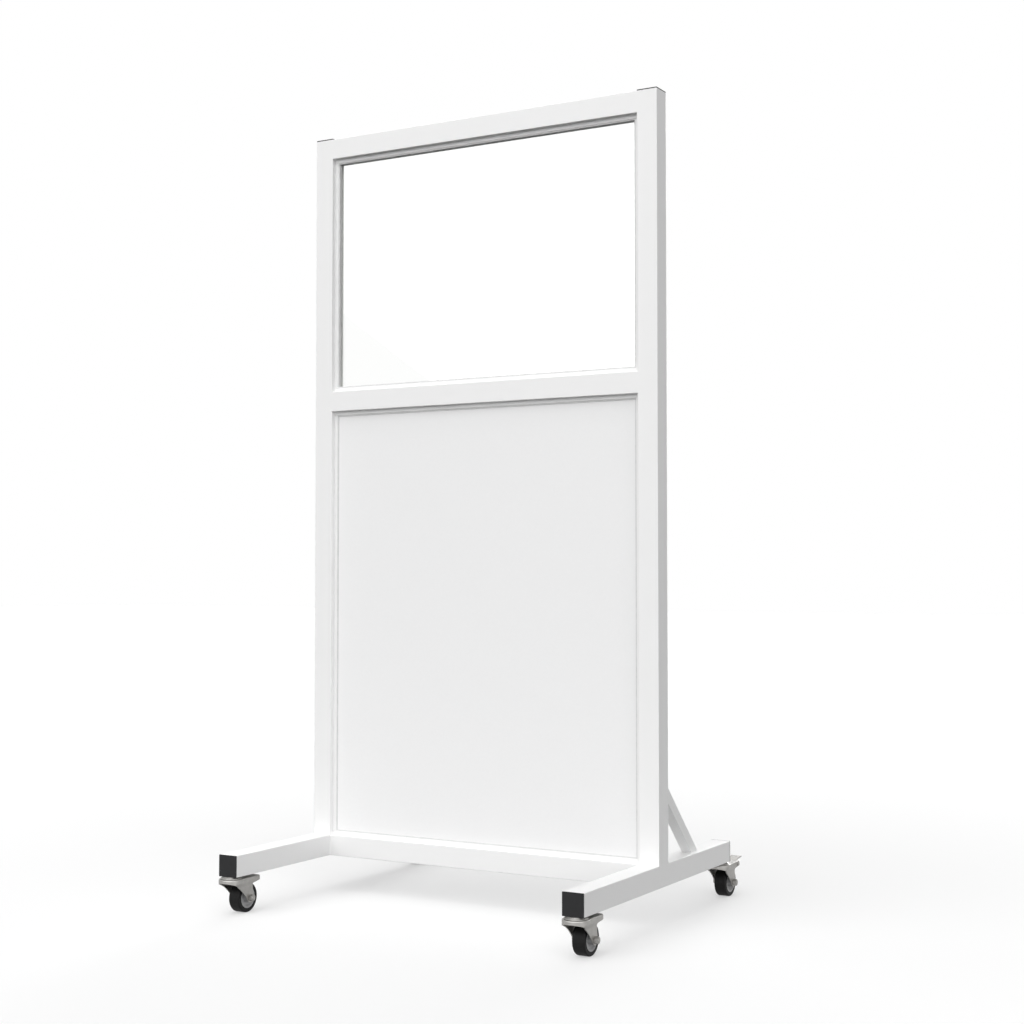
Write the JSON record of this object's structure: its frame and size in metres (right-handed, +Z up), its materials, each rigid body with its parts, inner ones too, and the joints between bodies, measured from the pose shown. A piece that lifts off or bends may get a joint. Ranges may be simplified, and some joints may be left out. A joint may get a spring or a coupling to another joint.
{
  "type": "mobile lead barrier",
  "caption": "Free-standing mobile radiation barrier: welded square-tube stand on swivel casters, lead-glass window over a lead-cored panel.",
  "frame": {"origin": "on the floor, at the centre of the box that the whole barrier fills", "axes": "+Z up, -Y towards the front of the barrier, +X to the right as seen from the front"},
  "size_m": [0.9767, 0.903, 1.9188],
  "materials": {
    "white_frame": "smooth satin white powder coat",
    "black_caps": "fine-grained moulded black plastic",
    "grey_gasket": "matt light grey rubber",
    "lead_glass": "clear polished lead glass",
    "white_board": "smooth white laminate facing",
    "lead": "dull rolled lead",
    "zinc_steel": "bright zinc plate",
    "grey_hub": "moulded grey plastic",
    "black_tyre": "smooth black rubber tread"
  },
  "bodies": {
    "frame": {"left_post": "white_frame", "right_post": "white_frame", "top_rail": "white_frame", "middle_rail": "white_frame", "bottom_rail": "white_frame", "left_leg": "white_frame", "right_leg": "white_frame", "left_brace": "white_frame", "right_brace": "white_frame", "window_front_bead": "white_frame", "window_rear_angles": "white_frame", "panel_front_bead": "white_frame", "panel_rear_angles": "white_frame", "left_post_cap": "black_caps", "right_post_cap": "black_caps", "leg_end_caps": "black_caps", "window_gasket": "grey_gasket", "panel_gasket": "grey_gasket", "lead_glass": "lead_glass", "front_board": "white_board", "rear_board": "white_board", "lead_sheet": "lead", "window_angle_screws": "zinc_steel", "panel_angle_screws": "zinc_steel", "caster_stems": "zinc_steel", "stem_nuts": "zinc_steel", "swivel_collars": "zinc_steel"},
    "front_left_swivel": {"front_left_fork": "zinc_steel", "front_left_swivel_balls": "zinc_steel", "front_left_axle_bush": "zinc_steel", "front_left_axle_bolt": "zinc_steel", "front_left_axle_nut": "zinc_steel"},
    "front_left_wheel": {"front_left_hub": "grey_hub", "front_left_tyre": "black_tyre"},
    "front_right_swivel": {"front_right_fork": "zinc_steel", "front_right_swivel_balls": "zinc_steel", "front_right_axle_bush": "zinc_steel", "front_right_axle_bolt": "zinc_steel", "front_right_axle_nut": "zinc_steel"},
    "front_right_wheel": {"front_right_hub": "grey_hub", "front_right_tyre": "black_tyre"},
    "rear_left_swivel": {"rear_left_fork": "zinc_steel", "rear_left_swivel_balls": "zinc_steel", "rear_left_axle_bush": "zinc_steel", "rear_left_axle_bolt": "zinc_steel", "rear_left_axle_nut": "zinc_steel", "rear_left_pedal_pin": "zinc_steel"},
    "rear_left_wheel": {"rear_left_hub": "grey_hub", "rear_left_tyre": "black_tyre"},
    "rear_left_pedal": {"rear_left_brake_pedal": "zinc_steel"},
    "rear_right_swivel": {"rear_right_fork": "zinc_steel", "rear_right_swivel_balls": "zinc_steel", "rear_right_axle_bush": "zinc_steel", "rear_right_axle_bolt": "zinc_steel", "rear_right_axle_nut": "zinc_steel", "rear_right_pedal_pin": "zinc_steel"},
    "rear_right_wheel": {"rear_right_hub": "grey_hub", "rear_right_tyre": "black_tyre"},
    "rear_right_pedal": {"rear_right_brake_pedal": "zinc_steel"}
  },
  "joints": [
    {"name": "front_left_swivel_turn", "type": "hinge", "parent": "frame", "child": "front_left_swivel", "pos_m": [-0.4572, -0.4215, 0.08], "axis": [0, 0, 1], "continuous": true},
    {"name": "front_left_wheel_spin", "type": "hinge", "parent": "front_left_swivel", "child": "front_left_wheel", "pos_m": [-0.4572, -0.379, 0.035], "axis": [1, 0, 0], "continuous": true},
    {"name": "front_right_swivel_turn", "type": "hinge", "parent": "frame", "child": "front_right_swivel", "pos_m": [0.4572, -0.4215, 0.08], "axis": [0, 0, 1], "continuous": true},
    {"name": "front_right_wheel_spin", "type": "hinge", "parent": "front_right_swivel", "child": "front_right_wheel", "pos_m": [0.4572, -0.379, 0.035], "axis": [1, 0, 0], "continuous": true},
    {"name": "rear_left_swivel_turn", "type": "hinge", "parent": "frame", "child": "rear_left_swivel", "pos_m": [-0.4572, 0.3335, 0.08], "axis": [0, 0, 1], "continuous": true},
    {"name": "rear_left_wheel_spin", "type": "hinge", "parent": "rear_left_swivel", "child": "rear_left_wheel", "pos_m": [-0.4572, 0.376, 0.035], "axis": [1, 0, 0], "continuous": true},
    {"name": "rear_left_brake_press", "type": "hinge", "parent": "rear_left_swivel", "child": "rear_left_pedal", "pos_m": [-0.4572, 0.3935, 0.0774], "axis": [-1, 0, 0], "range_deg": [0, 22]},
    {"name": "rear_right_swivel_turn", "type": "hinge", "parent": "frame", "child": "rear_right_swivel", "pos_m": [0.4572, 0.3335, 0.08], "axis": [0, 0, 1], "continuous": true},
    {"name": "rear_right_wheel_spin", "type": "hinge", "parent": "rear_right_swivel", "child": "rear_right_wheel", "pos_m": [0.4572, 0.376, 0.035], "axis": [1, 0, 0], "continuous": true},
    {"name": "rear_right_brake_press", "type": "hinge", "parent": "rear_right_swivel", "child": "rear_right_pedal", "pos_m": [0.4572, 0.3935, 0.0774], "axis": [-1, 0, 0], "range_deg": [0, 22]}
  ]
}
